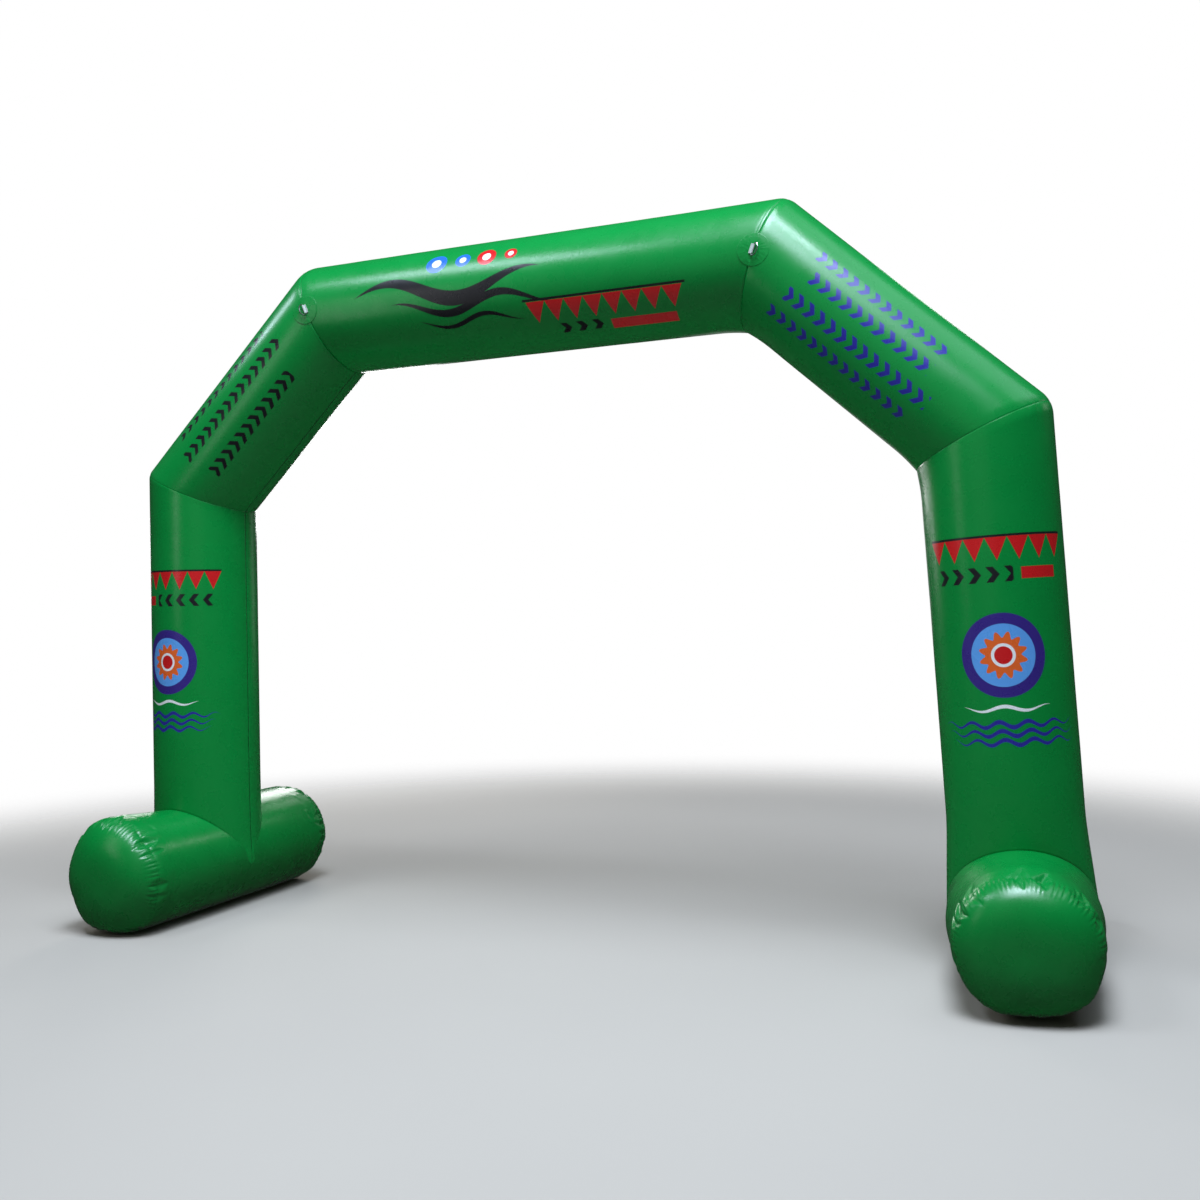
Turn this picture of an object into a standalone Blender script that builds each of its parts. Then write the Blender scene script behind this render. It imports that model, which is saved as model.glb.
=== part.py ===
"""Inflatable angular event arch: five mitred air tubes standing on two cross feet.

Metres. +X runs along the top beam, -Y is the front, +Z is up, and the floor is Z = 0.
Every sewn section of the skin is one filled solid, a hair away from its neighbours.
"""

import math

import bmesh
import bpy
from mathutils import Vector

# Driving dimensions
TUBE_RADIUS = 0.35
SEAM_GAP = 0.0003            # between two sections that are sewn together
FOOT_AXIS_Z = 0.345          # a little under the radius, so the foot lies on a flat strip
FOOT_HALF_LENGTH = 0.84      # from the leg's axis to each end rim
CAP_DOME = 0.15              # how far an end cap swells past its rim
SWAY = -0.0205               # the standing arch leans this much sideways per metre of height

# Corners of the centre line: where the two tubes' axes meet, and how the mitre looks there.
# outer_reach is how far from the seam the outer corner is rounded, inner_fill fills the inner one.
CORNERS = {
    "knee_left": dict(x=-2.58, z=2.83, outer_reach=0.050, inner_fill=0.000),
    "crown_left": dict(x=-1.45, z=3.89, outer_reach=0.070, inner_fill=0.000),
    "crown_right": dict(x=1.45, z=3.89, outer_reach=0.048, inner_fill=0.016),
    "knee_right": dict(x=2.58, z=2.83, outer_reach=0.060, inner_fill=0.016),
}
CORNER_SLOPE = 0.39          # how steeply the rounded skin runs in at a seam
# toe_out turns the foot about its leg, flare widens leg and foot where they meet.
FEET = {
    "left": dict(x=-2.65, toe_out=math.radians(1.3), flare=0.010),
    "right": dict(x=2.65, toe_out=math.radians(4.8), flare=0.027),
}
SIDES = {"left": -1, "right": 1}

# Resolution and small forms
COLUMNS = 40                 # facets round a tube
SEAM_HALF_WIDTH = math.radians(2.5)
SEAM_DEPTH = 0.006           # the lengthwise seam on the inner side is drawn in
INNER_REACH = 0.18           # length over which an inner corner is filled
CORNER_STATIONS = (0.0, 0.02, 0.045, 0.09, INNER_REACH)
FLARE_HEIGHTS = (0.52, 0.68, 0.86)
LEG_START_BELOW = 0.015      # the leg starts this far under the foot's axis, then is cut
SADDLE_CLEARANCE = 0.001     # the leg is this much narrower than the widened foot
FOOT_STATIONS = (0.0, 0.19, 0.38, 0.50, 0.62, 0.75, FOOT_HALF_LENGTH)
FOOT_FLARE_FLAT = 0.38       # the foot keeps its widening this far from the leg's axis
FOOT_FLARE_END = 0.75
PLEATS = 36                  # gathers round an end cap
PLEAT_DEPTH = 0.007
CAP_RINGS = (1.0, 0.975, 0.93, 0.85, 0.66, 0.35)
PLEAT_BY_RING = (0.8, 1.0, 1.0, 0.5, 0.1, 0.0)
PLEAT_STRENGTH = 0.72        # of the mean fold, the rest comes and goes round the cap
CAP_FULLNESS = 3, 0.55       # exponents of the dome: the share of the rim, then the height

# Anchors sewn over the two crown seams
PATCH_RADIUS = 0.09
PATCH_THICKNESS = 0.002
PATCH_LIFT = 0.0007          # keeps the flat-sided patch clear of the round tubes
PATCH_COLUMNS = 24
PATCH_RINGS = 3
STRAP_WIDTH = 0.054
STRAP_TAIL = 0.012
STRAP_LAYER = 0.0022
WIRE_RADIUS = 0.0035
HOLE_CLEARANCE = 0.0006
HOLE_COLUMNS = 16
BAR_HALF_LENGTH = 0.0285
BOW_DEPTH = 0.030
BOW_CORNER = 0.007
BEND_TURNS = (-90, -45, 0)   # degrees, where the ring's bar turns into its bow
BOW_TURNS = range(20, 161, 20)
RING_TILT = math.radians(22)

FRONT = Vector((0, -1, 0))
UP = Vector((0, 0, 1))
MIDDLE = Vector((0, 0, 1.5))     # a point inside the way through, which inner sides face


def clear_scene():
    for obj in list(bpy.data.objects):
        bpy.data.objects.remove(obj, do_unlink=True)


def plain_material(name, colour, roughness, metallic=0.0):
    material = bpy.data.materials.new(name)
    material.use_nodes = True
    shader = material.node_tree.nodes["Principled BSDF"]
    shader.inputs["Base Color"].default_value = (*colour, 1)
    shader.inputs["Roughness"].default_value = roughness
    shader.inputs["Metallic"].default_value = metallic
    return material


def smoothstep(value):
    value = min(max(value, 0.0), 1.0)
    return value * value * (3 - 2 * value)


def swayed(x, z):
    """A point of the centre line, moved by the lean of the whole arch."""
    return Vector((x + SWAY * (z - FOOT_AXIS_Z), 0, z))


def corner_point(name):
    return swayed(CORNERS[name]["x"], CORNERS[name]["z"])


def new_object(name, mesh_maker, material):
    mesh = bpy.data.meshes.new(name)
    bm = bmesh.new()
    mesh_maker(bm)
    bmesh.ops.recalc_face_normals(bm, faces=bm.faces)
    bm.to_mesh(mesh)
    bm.free()
    mesh.shade_smooth()
    mesh.set_sharp_from_angle(angle=math.radians(50))
    obj = bpy.data.objects.new(name, mesh)
    obj.data.materials.append(material)
    bpy.context.scene.collection.objects.link(obj)
    return obj


def skin_rings(bm, rings):
    """Joins rings of points into a closed body with a flat face at each end."""
    loops = [[bm.verts.new(point) for point in ring] for ring in rings]
    for lower, upper in zip(loops, loops[1:]):
        for i in range(len(lower)):
            j = (i + 1) % len(lower)
            bm.faces.new((lower[i], lower[j], upper[j], upper[i]))
    bm.faces.new(loops[0][::-1])
    bm.faces.new(loops[-1])


def tube_angles():
    """Angles round a tube from its inner side, with two more columns beside the seam there."""
    whole = [2 * math.pi * i / COLUMNS for i in range(COLUMNS)]
    return sorted(whole + [SEAM_HALF_WIDTH, 2 * math.pi - SEAM_HALF_WIDTH])


def seam_groove(angle):
    return SEAM_DEPTH if angle == 0 else 0.0


def corner_change(angle, distance, corner):
    """Change of radius near a mitre: less on the outer side, more on the inner side."""
    inward = math.cos(angle)
    reach = corner["outer_reach"] if inward < 0 else INNER_REACH
    strength = max(0, 1 - distance / reach) ** 2
    if inward < 0:
        return CORNER_SLOPE / 2 * reach * inward * strength
    return corner["inner_fill"] * inward ** 4 * strength


def mitred_tube(bm, start, end):
    """A tube between two corners. start and end: dict(point, normal, corner)."""
    axis = (end["point"] - start["point"]).normalized()
    inner = axis.cross(FRONT).normalized()
    if inner.dot(MIDDLE - start["point"]) < 0:
        inner = -inner

    def on_plane(offset, cut, sign):
        plane_point = cut["point"] + cut["normal"] * sign * SEAM_GAP / 2
        along = (plane_point - start["point"] - offset).dot(cut["normal"])
        return along / axis.dot(cut["normal"])

    def ring(pick):
        points = []
        for angle in tube_angles():
            radial = inner * math.cos(angle) + FRONT * math.sin(angle)
            offset = radial * TUBE_RADIUS
            low = on_plane(offset, start, 1)
            high = on_plane(offset, end, -1)
            along = pick(low, high)
            radius = TUBE_RADIUS - seam_groove(angle)
            radius += corner_change(angle, along - low, start["corner"])
            radius += corner_change(angle, high - along, end["corner"])
            offset = radial * radius
            if along == low:
                along = on_plane(offset, start, 1)
            elif along == high:
                along = on_plane(offset, end, -1)
            points.append(start["point"] + axis * along + offset)
        return points

    rings = [ring(lambda low, high, d=d: low + d) for d in CORNER_STATIONS]
    rings += [ring(lambda low, high, d=d: high - d) for d in reversed(CORNER_STATIONS)]
    skin_rings(bm, rings)


def mitre_normal(before, here, after):
    return ((here - before).normalized() + (after - here).normalized()).normalized()


def half_width(flare, distance):
    """Half the foot's width at this distance from the leg's axis."""
    reach = FOOT_FLARE_END - FOOT_FLARE_FLAT
    fade = smoothstep((abs(distance) - FOOT_FLARE_FLAT) / reach)
    return TUBE_RADIUS + flare * (1 - fade)


def foot_axis(side):
    """Unit vectors along the foot, to the back, and across it."""
    turn = -SIDES[side] * FEET[side]["toe_out"]
    back = Vector((math.sin(turn), math.cos(turn), 0))
    return back, Vector((math.cos(turn), -math.sin(turn), 0))


def foot_body(bm, side, grow=0.0):
    """The foot tube with its flat underside. grow makes a cutter a little larger all round."""
    back, across = foot_axis(side)
    centre = Vector((FEET[side]["x"], 0, FOOT_AXIS_Z))
    stations = [-s for s in reversed(FOOT_STATIONS[1:])] + list(FOOT_STATIONS)
    rings = []
    for station in stations:
        width = half_width(FEET[side]["flare"], station) + grow
        ring = []
        for i in range(COLUMNS):
            angle = 2 * math.pi * i / COLUMNS
            point = centre + back * station + across * width * math.cos(angle)
            point += UP * (TUBE_RADIUS + grow) * math.sin(angle)
            point.z = max(point.z, -grow)
            ring.append(point)
        rings.append(ring)
    skin_rings(bm, rings)


def leg_body(bm, side, knee, knee_normal):
    """The leg tube: mitred at the knee, flared sideways at its foot."""
    base = Vector((FEET[side]["x"], 0, FOOT_AXIS_Z))
    axis = (knee["point"] - base).normalized()
    inward = Vector((-SIDES[side], 0, 0))
    inner = (inward - axis * inward.dot(axis)).normalized()
    flare = FEET[side]["flare"] - SADDLE_CLEARANCE
    flare_top = FLARE_HEIGHTS[-1] - FOOT_AXIS_Z
    rings = []
    for height in (-LEG_START_BELOW, *[h - FOOT_AXIS_Z for h in FLARE_HEIGHTS]):
        wide = TUBE_RADIUS + flare * (1 - smoothstep(height / flare_top))
        rings.append([
            base + axis * height + inner * (wide - seam_groove(angle)) * math.cos(angle)
            + FRONT * TUBE_RADIUS * math.sin(angle)
            for angle in tube_angles()
        ])
    plane_point = knee["point"] - knee_normal * SEAM_GAP / 2
    for distance in reversed(CORNER_STATIONS):
        ring = []
        for angle in tube_angles():
            radius = TUBE_RADIUS - seam_groove(angle)
            radius += corner_change(angle, distance, knee["corner"])
            offset = (inner * math.cos(angle) + FRONT * math.sin(angle)) * radius
            height = (plane_point - base - offset).dot(knee_normal) / axis.dot(knee_normal)
            ring.append(base + offset + axis * (height - distance))
        rings.append(ring)
    skin_rings(bm, rings)


def pleat(angle):
    """-1 in a fold's valley to 0 on its crest, uneven round the cap."""
    uneven = math.sin(5 * angle + 1.0) * math.cos(3 * angle)
    strength = PLEAT_STRENGTH + (1 - PLEAT_STRENGTH) * uneven
    return -strength * (0.5 - 0.5 * math.cos(PLEATS * angle))


def cap_body(bm, side, end):
    """An end cap, end = -1 in front and 1 behind: a dome gathered into folds at its rim."""
    back, across = foot_axis(side)
    outward = back * end
    rim_centre = Vector((FEET[side]["x"], 0, FOOT_AXIS_Z)) + outward * (FOOT_HALF_LENGTH + SEAM_GAP)
    columns = 2 * PLEATS

    def ring(share, fold, lift):
        points = []
        for i in range(columns):
            angle = 2 * math.pi * i / columns
            drawn = pleat(angle) * fold * PLEAT_DEPTH
            radius = TUBE_RADIUS * share + drawn
            point = rim_centre + outward * (lift + (drawn if lift else 0))
            point += across * radius * math.cos(angle) + UP * radius * math.sin(angle)
            point.z = max(point.z, 0)
            points.append(point)
        return points

    rings = [ring(1.0, PLEAT_BY_RING[0], 0.0)]
    for share, fold in zip(CAP_RINGS[1:], PLEAT_BY_RING[1:]):
        height = (1 - share ** CAP_FULLNESS[0]) ** CAP_FULLNESS[1]
        rings.append(ring(share, fold, CAP_DOME * height))
    loops = [[bm.verts.new(point) for point in r] for r in rings]
    for lower, upper in zip(loops, loops[1:]):
        for i in range(columns):
            j = (i + 1) % columns
            bm.faces.new((lower[i], lower[j], upper[j], upper[i]))
    bm.faces.new(loops[0][::-1])
    top = bm.verts.new(rim_centre + outward * CAP_DOME)
    for i in range(columns):
        bm.faces.new((loops[-1][i], loops[-1][(i + 1) % columns], top))


def anchor_frame(side):
    """Axes of an anchor: along the seam, across it to the arch's outside, and the crown point."""
    crown = corner_point(f"crown_{side}")
    knee = corner_point(f"knee_{side}")
    other = corner_point("crown_right" if side == "left" else "crown_left")
    across = mitre_normal(other, crown, knee)
    along = across.cross(FRONT)
    if along.z < 0:
        along = -along
    return crown, along, across, (crown - other).normalized(), (knee - crown).normalized()


def patch_body(bm, side):
    """A round patch that follows both tubes across the crown seam."""
    crown, along, across, beam_axis, shoulder_axis = anchor_frame(side)

    def point(radius, angle, lift):
        flat = along * radius * math.sin(angle) + across * radius * math.cos(angle)
        tube_axis = beam_axis if math.cos(angle) < 0 else shoulder_axis
        off_axis = (flat - tube_axis * flat.dot(tube_axis)).length
        depth = math.sqrt(TUBE_RADIUS ** 2 - off_axis ** 2) + lift
        return crown + flat + FRONT * depth

    def layer(lift):
        loops = []
        for step in range(1, PATCH_RINGS + 1):
            radius = PATCH_RADIUS * step / PATCH_RINGS
            turns = [2 * math.pi * i / PATCH_COLUMNS for i in range(PATCH_COLUMNS)]
            loops.append([bm.verts.new(point(radius, turn, lift)) for turn in turns])
        centre = bm.verts.new(point(0, 0, lift))
        for i in range(PATCH_COLUMNS):
            j = (i + 1) % PATCH_COLUMNS
            bm.faces.new((centre, loops[0][i], loops[0][j]))
            for inner, outer in zip(loops, loops[1:]):
                bm.faces.new((inner[i], outer[i], outer[j], inner[j]))
        return loops[-1]

    below, above = layer(PATCH_LIFT), layer(PATCH_LIFT + PATCH_THICKNESS)
    for i in range(PATCH_COLUMNS):
        j = (i + 1) % PATCH_COLUMNS
        bm.faces.new((below[i], below[j], above[j], above[i]))


def bar_height():
    """Distance of the ring's bar from the crown point, along FRONT."""
    patch_top = TUBE_RADIUS + PATCH_LIFT + PATCH_THICKNESS
    return patch_top + SEAM_GAP + STRAP_LAYER + HOLE_CLEARANCE + WIRE_RADIUS


def strap_body(bm, side):
    """Webbing sewn down on one side and folded round the ring's bar."""
    crown, along, across, _, _ = anchor_frame(side)
    hole_radius = WIRE_RADIUS + HOLE_CLEARANCE
    outer_radius = hole_radius + STRAP_LAYER
    inner, outer = [], []
    for i in range(HOLE_COLUMNS):
        angle = 2 * math.pi * (i + 0.5) / HOLE_COLUMNS
        wide, high = math.cos(angle), math.sin(angle)
        inner.append((hole_radius * wide, hole_radius * high))
        outer.append((outer_radius * wide, outer_radius * high))
    # The two outer points that face the tail, low on the sewn side, reach out to its end.
    lowest = 3 * HOLE_COLUMNS // 4 - 1
    outer[lowest - 1] = (-outer_radius - STRAP_TAIL, -outer_radius)
    outer[lowest - 2] = (-outer_radius - STRAP_TAIL, -outer_radius + 2 * STRAP_LAYER)
    centre = crown + FRONT * bar_height()

    def row(profile, offset):
        return [
            bm.verts.new(centre + across * v + FRONT * n + along * offset) for v, n in profile
        ]

    ends = []
    for offset in (-STRAP_WIDTH / 2, STRAP_WIDTH / 2):
        ends.append((row(inner, offset), row(outer, offset)))
    for i in range(HOLE_COLUMNS):
        j = (i + 1) % HOLE_COLUMNS
        for hole, rim in ends:
            bm.faces.new((hole[i], hole[j], rim[j], rim[i]))
        for kind in (0, 1):
            near, far = ends[0][kind], ends[1][kind]
            bm.faces.new((near[i], near[j], far[j], far[i]))


def ring_outline():
    """The ring's centre line as (along, away from the bar) pairs."""
    right = []
    for turn in map(math.radians, BEND_TURNS):
        right.append((BAR_HALF_LENGTH + BOW_CORNER * math.cos(turn),
                      BOW_CORNER + BOW_CORNER * math.sin(turn)))
    bow = []
    for turn in map(math.radians, BOW_TURNS):
        bow.append(((BAR_HALF_LENGTH + BOW_CORNER) * math.cos(turn),
                    BOW_CORNER + (BOW_DEPTH - BOW_CORNER) * math.sin(turn)))
    left = [(-x, y) for x, y in reversed(right)]
    return right + bow + left + [(0.0, 0.0)]


def add_ring(name, side, material):
    """The metal ring: a bent wire whose straight bar lies in the strap."""
    crown, along, across, _, _ = anchor_frame(side)
    away = across * math.cos(RING_TILT) + FRONT * math.sin(RING_TILT)
    curve = bpy.data.curves.new(name, "CURVE")
    curve.dimensions = "3D"
    curve.bevel_depth = WIRE_RADIUS
    curve.bevel_resolution = 2
    outline = ring_outline()
    spline = curve.splines.new("POLY")
    spline.points.add(len(outline) - 1)
    spline.use_cyclic_u = True
    centre = crown + FRONT * bar_height()
    for place, (u, v) in zip(spline.points, outline):
        place.co = (*(centre + along * u + away * v), 1)
    obj = bpy.data.objects.new(name, curve)
    obj.data.materials.append(material)
    bpy.context.scene.collection.objects.link(obj)
    return obj


def add_leg(side, knee, normal, material):
    """The leg, cut to the shape of the foot's back."""
    leg = new_object(f"leg_{side}", lambda bm: leg_body(bm, side, knee, normal), material)
    cutter = new_object(
        f"saddle_cutter_{side}", lambda bm: foot_body(bm, side, grow=SEAM_GAP), material
    )
    cutter.hide_render = True
    cutter.display_type = "WIRE"
    cut = leg.modifiers.new("saddle", "BOOLEAN")
    cut.object = cutter
    cut.operation = "DIFFERENCE"
    cut.solver = "EXACT"


def centre_over_origin(objects):
    """Stands the arch with the middle of its bounding box over the origin."""
    root = bpy.data.objects.new("arch_origin", None)
    bpy.context.scene.collection.objects.link(root)
    for obj in objects:
        obj.parent = root
    bpy.context.view_layer.update()
    graph = bpy.context.evaluated_depsgraph_get()
    corners = [
        Vector(corner)
        for obj in objects if obj.type == "MESH" and not obj.hide_render
        for corner in obj.evaluated_get(graph).bound_box
    ]
    for axis in (0, 1):
        places = [corner[axis] for corner in corners]
        root.location[axis] = -(min(places) + max(places)) / 2


def build():
    clear_scene()
    skin = plain_material("green_coated_fabric", (0.012, 0.32, 0.075), 0.32)
    webbing = plain_material("white_webbing", (0.80, 0.82, 0.80), 0.75)
    metal = plain_material("ring_steel", (0.62, 0.63, 0.64), 0.25, metallic=1.0)

    names = list(CORNERS)
    bases = {side: Vector((FEET[side]["x"], 0, FOOT_AXIS_Z)) for side in SIDES}
    path = [bases["left"], *[corner_point(n) for n in names], bases["right"]]
    cuts = []
    for i, name in enumerate(names, start=1):
        cuts.append(dict(point=path[i], corner=CORNERS[name],
                         normal=mitre_normal(path[i - 1], path[i], path[i + 1])))
    for name, start, end in (
        ("shoulder_left", cuts[0], cuts[1]),
        ("beam", cuts[1], cuts[2]),
        ("shoulder_right", cuts[2], cuts[3]),
    ):
        new_object(name, lambda bm: mitred_tube(bm, start, end), skin)
    add_leg("left", cuts[0], cuts[0]["normal"], skin)
    add_leg("right", cuts[3], -cuts[3]["normal"], skin)

    for side in SIDES:
        new_object(f"foot_{side}", lambda bm: foot_body(bm, side), skin)
        for end_name, end in (("front", -1), ("rear", 1)):
            new_object(f"cap_{side}_{end_name}", lambda bm: cap_body(bm, side, end), skin)
        new_object(f"anchor_patch_{side}", lambda bm: patch_body(bm, side), skin)
        new_object(f"anchor_strap_{side}", lambda bm: strap_body(bm, side), webbing)
        add_ring(f"anchor_ring_{side}", side, metal)
    centre_over_origin([obj for obj in bpy.data.objects if obj.type != "EMPTY"])


build()
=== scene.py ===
"""Looks of the inflatable event arch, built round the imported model.

Each sewn section is a dense closed mesh. Its rounding, seams, gathers and wrinkles are relief,
measured outward from the section's own round surface. Metres: +X along the beam, -Y front, +Z up.
"""

import math

import bpy
import numpy as np
from mathutils import Euler, Matrix, Vector


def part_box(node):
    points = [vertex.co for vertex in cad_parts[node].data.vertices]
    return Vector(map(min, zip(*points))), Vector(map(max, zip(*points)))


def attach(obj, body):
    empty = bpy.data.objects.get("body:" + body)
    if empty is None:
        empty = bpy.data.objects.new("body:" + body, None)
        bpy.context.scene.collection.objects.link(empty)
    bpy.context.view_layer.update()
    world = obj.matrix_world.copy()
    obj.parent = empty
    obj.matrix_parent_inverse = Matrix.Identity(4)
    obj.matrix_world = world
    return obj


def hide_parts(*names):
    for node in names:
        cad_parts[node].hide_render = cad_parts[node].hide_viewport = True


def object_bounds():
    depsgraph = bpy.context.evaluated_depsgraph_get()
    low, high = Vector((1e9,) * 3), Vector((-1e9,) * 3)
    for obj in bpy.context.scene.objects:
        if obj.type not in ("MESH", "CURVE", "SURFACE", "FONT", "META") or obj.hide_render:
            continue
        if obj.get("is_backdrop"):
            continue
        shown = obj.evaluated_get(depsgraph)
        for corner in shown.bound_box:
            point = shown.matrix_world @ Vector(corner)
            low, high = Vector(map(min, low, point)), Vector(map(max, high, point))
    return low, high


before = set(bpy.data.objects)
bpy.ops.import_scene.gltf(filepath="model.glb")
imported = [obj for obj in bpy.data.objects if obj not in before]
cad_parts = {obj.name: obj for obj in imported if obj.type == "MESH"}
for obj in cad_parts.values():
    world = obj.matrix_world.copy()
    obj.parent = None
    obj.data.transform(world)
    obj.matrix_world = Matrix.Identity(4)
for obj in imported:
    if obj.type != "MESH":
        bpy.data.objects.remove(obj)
CAD_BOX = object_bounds()

# The arch's own sizes, as in the model
RADIUS = 0.35
FOOT_X = 2.65
FOOT_AXIS_Z = 0.345
FOOT_HALF = 0.84
CAP_DOME = 0.15
SWAY = -0.0205
SEAM_GAP = 0.0003
TURN = 2 * math.pi
GIRTH = TURN * RADIUS
# x, z: where two tubes' axes meet. reach: how far from the seam the outer corner is rounded.
# fill: how far the inner corner is filled. lift: how far the outer side stands out near the corner.
# gathers: depth of the small folds at the seam's outer end. groove: depth of the stitched line.
# welt: width of the raised seam band.
CORNERS = {
    "knee_left": dict(x=-2.58, z=2.83, reach=0.032, fill=0, gathers=0.001, groove=0.001, welt=0),
    "crown_left": dict(x=-1.45, z=3.89, reach=0.07, fill=0, gathers=0.0038, groove=0.003, welt=0.012),
    "crown_right": dict(x=1.45, z=3.89, reach=0.04, fill=0.016, gathers=0.0006, groove=0.0028,
                        welt=0.018, lift=0.003),
    "knee_right": dict(x=2.58, z=2.83, reach=0.06, fill=0.016, gathers=0.0036, groove=0.0012, welt=0),
}
CORNER_SLOPE = 0.39          # how steeply the rounded skin runs in at a seam
INNER_REACH = 0.18
# Metres from the inner side, towards the front, to each tube's lengthwise seam
SEAMS = {"leg_left": 0, "shoulder_left": 0, "beam": -0.2, "shoulder_right": -0.2, "leg_right": -0.12}
# folds: shortest and longest fold at the sewn ends. lower: their strength on the underside.
# spare: how much extra cloth lies there. pulls: how many pointed pits lie round a rim.
# rim: where the rims stand out or are drawn in, as degrees from the across direction, share of
# the radius, and width in radians. swell, full: how far the front end stands out, and at which angle.
FEET = {
    "left": dict(sign=-1, toe_out=math.radians(1.3), flare=0.01, seed=3, folds=(0.07, 0.16),
                 lower=1.0, spare=0.65, pulls=22, swell=0.12, full=math.radians(116),
                 rim=((-130, 0.095, 0.36), (180, 0.07, 0.5))),
    "right": dict(sign=1, toe_out=math.radians(4.8), flare=0.027, seed=8, folds=(0.08, 0.18),
                  lower=0.3, spare=0.42, pulls=24, swell=0.0, full=0.0,
                  rim=((-42, 0.05, 0.28), (-88, -0.045, 0.3), (-128, 0.035, 0.3),
                       (85, -0.06, 0.62))),
}
FLARE_TOP = 0.515            # above the foot's axis
FOOT_FLARE = (0.38, 0.75)    # the foot's widening fades out between these distances
TONGUE, TONGUE_HALF = 0.085, 0.13    # the leg's points that lie down over the foot's sides
SADDLE_CLEARANCE = 0.001     # the leg is this much narrower than the widened foot
SCALLOP, SCALLOP_LENGTH = 0.012, 0.085    # slack cloth under the sewn ends
FLOOR_SOFTNESS = 0.004       # height over which the underside rounds into its flat strip

# Mesh density
STITCH_COLUMN, FINE_COLUMN, COARSE_COLUMN = 0.0022, 0.005, 0.0115
STITCH_STRIP = 0.013
SEAM_STRIP = 0.14
END_ZONE = 0.15
END_ROWS = np.array([0, 2, 4, 6, 9, 12, 16, 20, 24, 29, 35, 42, 50, 59, 69, 80, 92, 105, 119, 134]) / 1000
ROW = 0.011
SHARP_EDGE = math.radians(55)

join = np.concatenate
FRONT = np.array([0.0, -1.0, 0.0])
UP = np.array([0.0, 0.0, 1.0])
FOOT_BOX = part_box("foot_left")
# How far the model was moved to stand over its origin
SHIFT = np.array([(FOOT_BOX[0].x + FOOT_BOX[1].x) / 2 + FOOT_X, 0, 0])


# ---- tools

def unit(vector):
    return vector / np.linalg.norm(vector)


def smooth(value):
    value = np.clip(value, 0, 1)
    return value * value * (3 - 2 * value)


def bell(distance, width):
    return np.exp(-(distance / width) ** 2)


def chance(i, j, seed):
    """A repeatable number from 0 to 1 for a pair of whole numbers."""
    value = np.sin(i * 127.1 + j * 311.7 + seed * 74.7) * 43758.5453
    return value - np.floor(value)


def noise(a, b, seed):
    """Smooth noise from -1 to 1, with cells of size 1."""
    i, j = np.floor(a), np.floor(b)
    x, y = smooth(a - i), smooth(b - j)
    low = chance(i, j, seed) * (1 - x) + chance(i + 1, j, seed) * x
    high = chance(i, j + 1, seed) * (1 - x) + chance(i + 1, j + 1, seed) * x
    return 2 * (low * (1 - y) + high * y) - 1


def wrapped(angle):
    """The same angle, from -pi to pi."""
    return (angle + math.pi) % TURN - math.pi


def beside(angle, middle, width):
    """1 at this angle, fading out round it."""
    return bell(wrapped(angle - middle), width)


def corner_point(name):
    corner = CORNERS[name]
    return np.array([corner["x"] + SWAY * (corner["z"] - FOOT_AXIS_Z), 0, corner["z"]]) + SHIFT


def foot_centre(side):
    return np.array([FEET[side]["sign"] * FOOT_X, 0, FOOT_AXIS_Z]) + SHIFT


def mitre(before, here, after):
    return unit(unit(here - before) + unit(after - here))


def inner_side(axis, point):
    """The direction across a tube that faces the middle of the arch."""
    inner = unit(np.cross(axis, FRONT))
    return inner if inner @ (np.array([0, 0, 1.5]) - point) > 0 else -inner


# ---- relief of the skin

GATHERS = 46                 # small folds round a mitre seam
STITCHED_LINE = 0.0035       # half the width of its groove
WRINKLE_SPACING = 0.16       # along a lengthwise seam


def corner_rounding(angle, distance, corner):
    inward = np.cos(angle)
    outer = CORNER_SLOPE / 2 * corner["reach"] * np.clip(inward, -1, 0)
    outer = outer * np.clip(1 - distance / corner["reach"], 0, 1) ** 2
    outer = outer + corner.get("lift", 0) * np.clip(-inward, 0, 1) ** 2 * np.exp(-distance / 0.3)
    inner = corner["fill"] * np.clip(inward, 0, 1) ** 4
    return outer + inner * np.clip(1 - distance / INNER_REACH, 0, 1) ** 2


def seam_gathers(angle, distance, corner, seed):
    """Short folds that run off a mitre seam, strongest at its outer end."""
    total = np.zeros(np.broadcast(angle, distance).shape)
    for k in range(GATHERS):
        place = TURN * (k + 0.8 * chance(k, 1, seed)) / GATHERS
        outer = max(0.0, -math.cos(place)) ** 2
        depth = (0.06 + outer) * corner["gathers"] * (0.3 + 1.5 * chance(k, 2, seed) ** 3)
        width = 0.007 + 0.008 * chance(k, 3, seed)
        reach = 0.025 + 0.055 * chance(k, 4, seed) * (0.4 + outer)
        slant = (chance(k, 5, seed) - 0.5) * 0.9
        across = wrapped(angle - place) * RADIUS + slant * distance
        fold = bell(across, width) - 0.5 * bell(across, 2 * width)
        total -= depth * fold * np.exp(-(distance / reach) ** 1.5)
    return total


def seam_welt(distance, corner, on_this_side):
    """The stitched line of a mitre seam, and the raised band of its seam allowance."""
    relief = -corner["groove"] * bell(distance, STITCHED_LINE)
    width = corner["welt"]
    if on_this_side and width:
        inside = smooth((distance - 0.002) / 0.003) * smooth((width - distance) / 0.003 + 1)
        relief = relief + 0.0007 * inside - 0.0004 * bell(distance - width - 0.003, 0.003)
    return relief


def corner_relief(angle, distance, name, welted):
    """All that a corner does to the skin at this distance from its seam."""
    corner = CORNERS[name]
    relief = corner_rounding(angle, distance, corner)
    relief = relief + seam_gathers(angle, distance, corner, sum(map(ord, name)))
    return relief + seam_welt(distance, corner, welted)


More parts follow.
